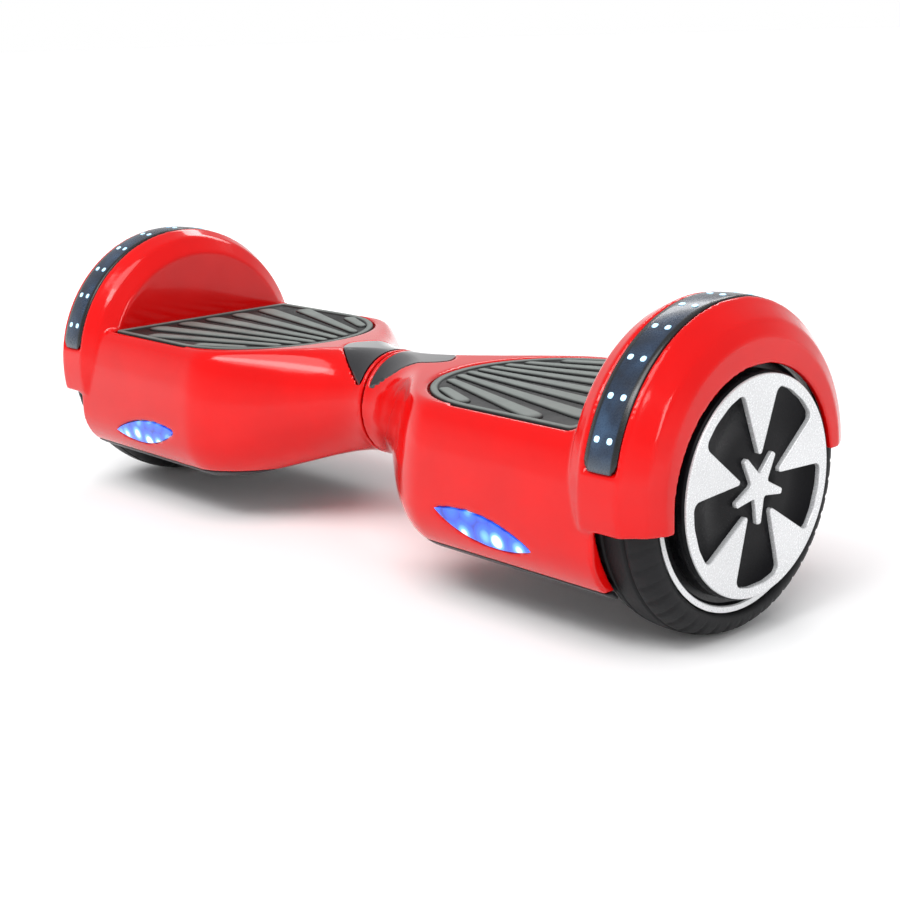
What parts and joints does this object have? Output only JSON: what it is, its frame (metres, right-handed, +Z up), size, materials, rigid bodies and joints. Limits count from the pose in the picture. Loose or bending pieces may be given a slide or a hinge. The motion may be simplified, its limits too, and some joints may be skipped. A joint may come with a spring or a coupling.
{
  "type": "self balancing hoverboard",
  "caption": "Two-wheeled self balancing board: hinged red halves with foot pads, arched wheel covers with light bands, headlights and hub motor wheels.",
  "frame": {"origin": "on the ground, under the middle of the board", "axes": "+X towards the right wheel along both wheel axles, -Y towards the headlights, +Z up"},
  "size_m": [0.5728, 0.187, 0.1838],
  "materials": {
    "red_shell": "high gloss",
    "black_shell": "satin",
    "light_strip": "gloss, with lit points",
    "lamp_lens": "clear gloss over blue light",
    "black_window": "high gloss",
    "rubber_pad": "ribbed matte",
    "tyre": "matte",
    "cast_aluminium": "cast",
    "drum_aluminium": "machined",
    "steel": "bright",
    "bronze": "plain bearing",
    "magnet": "plated",
    "iron_core": "laminated, wound",
    "circuit_board": "solder mask",
    "battery_wrap": "shrink wrap",
    "strap": "woven",
    "cable": "satin",
    "cap_black": "gloss",
    "cap_silver": "silver paint",
    "port_black": "satin",
    "port_rubber": "matte",
    "button_silver": "satin silver"
  },
  "bodies": {
    "right_half": {"axle_clamp_right": "cast_aluminium", "axle_right": "steel", "charge_socket": "port_black", "circlip": "steel", "clamp_screws_right": "steel", "frame_right": "cast_aluminium", "gyro_board_right": "circuit_board", "headlight_board_right": "circuit_board", "headlight_lens_right": "lamp_lens", "indicator_window_right": "black_window", "light_board_right": "circuit_board", "light_strip_right": "light_strip", "lower_shell_right": "black_shell", "main_board": "circuit_board", "motor_cable_right": "cable", "pivot_shaft": "steel", "power_cable": "cable", "shell_screws_right": "steel", "stator_right": "iron_core", "switch_housing": "port_black", "upper_shell_right": "red_shell"},
    "left_half": {"axle_clamp_left": "cast_aluminium", "axle_left": "steel", "battery": "battery_wrap", "battery_strap": "strap", "clamp_screws_left": "steel", "frame_left": "cast_aluminium", "gyro_board_left": "circuit_board", "headlight_board_left": "circuit_board", "headlight_lens_left": "lamp_lens", "indicator_window_left": "black_window", "light_board_left": "circuit_board", "light_strip_left": "light_strip", "lower_shell_left": "black_shell", "motor_cable_left": "cable", "pivot_bush": "bronze", "shell_screws_left": "steel", "stator_left": "iron_core", "upper_shell_left": "red_shell"},
    "right_wheel": {"bearings_right": "steel", "cap_trim_right": "cap_silver", "cover_screws_right": "steel", "hub_cap_right": "cap_black", "magnets_right": "magnet", "rim_cover_right": "drum_aluminium", "rim_right": "drum_aluminium", "tyre_right": "tyre"},
    "left_wheel": {"bearings_left": "steel", "cap_trim_left": "cap_silver", "cover_screws_left": "steel", "hub_cap_left": "cap_black", "magnets_left": "magnet", "rim_cover_left": "drum_aluminium", "rim_left": "drum_aluminium", "tyre_left": "tyre"},
    "right_pad": {"foot_pad_right": "rubber_pad"},
    "left_pad": {"foot_pad_left": "rubber_pad"},
    "power_button": {"power_button": "button_silver"},
    "charge_flap": {"charge_flap": "port_rubber"}
  },
  "joints": [
    {"name": "twist", "type": "hinge", "parent": "right_half", "child": "left_half", "pos_m": [0, 0, 0.088], "axis": [1, 0, 0], "range_deg": [-15, 15]},
    {"name": "right_wheel_spin", "type": "hinge", "parent": "right_half", "child": "right_wheel", "pos_m": [0.257, 0, 0.085], "axis": [1, 0, 0], "continuous": true},
    {"name": "left_wheel_spin", "type": "hinge", "parent": "left_half", "child": "left_wheel", "pos_m": [-0.257, 0, 0.085], "axis": [1, 0, 0], "continuous": true},
    {"name": "right_pad_press", "type": "slide", "parent": "right_half", "child": "right_pad", "axis": [0, 0, -1], "range_m": [0, 0.0015], "stiffness_N_per_m": 20000},
    {"name": "left_pad_press", "type": "slide", "parent": "left_half", "child": "left_pad", "axis": [0, 0, -1], "range_m": [0, 0.0015], "stiffness_N_per_m": 20000},
    {"name": "power_button_press", "type": "slide", "parent": "right_half", "child": "power_button", "axis": [0, -1, 0], "range_m": [0, 0.0012], "stiffness_N_per_m": 400},
    {"name": "charge_flap_hinge", "type": "hinge", "parent": "right_half", "child": "charge_flap", "pos_m": [0.128, 0.0919, 0.0808], "axis": [1, 0, 0], "range_deg": [0, 110]}
  ]
}
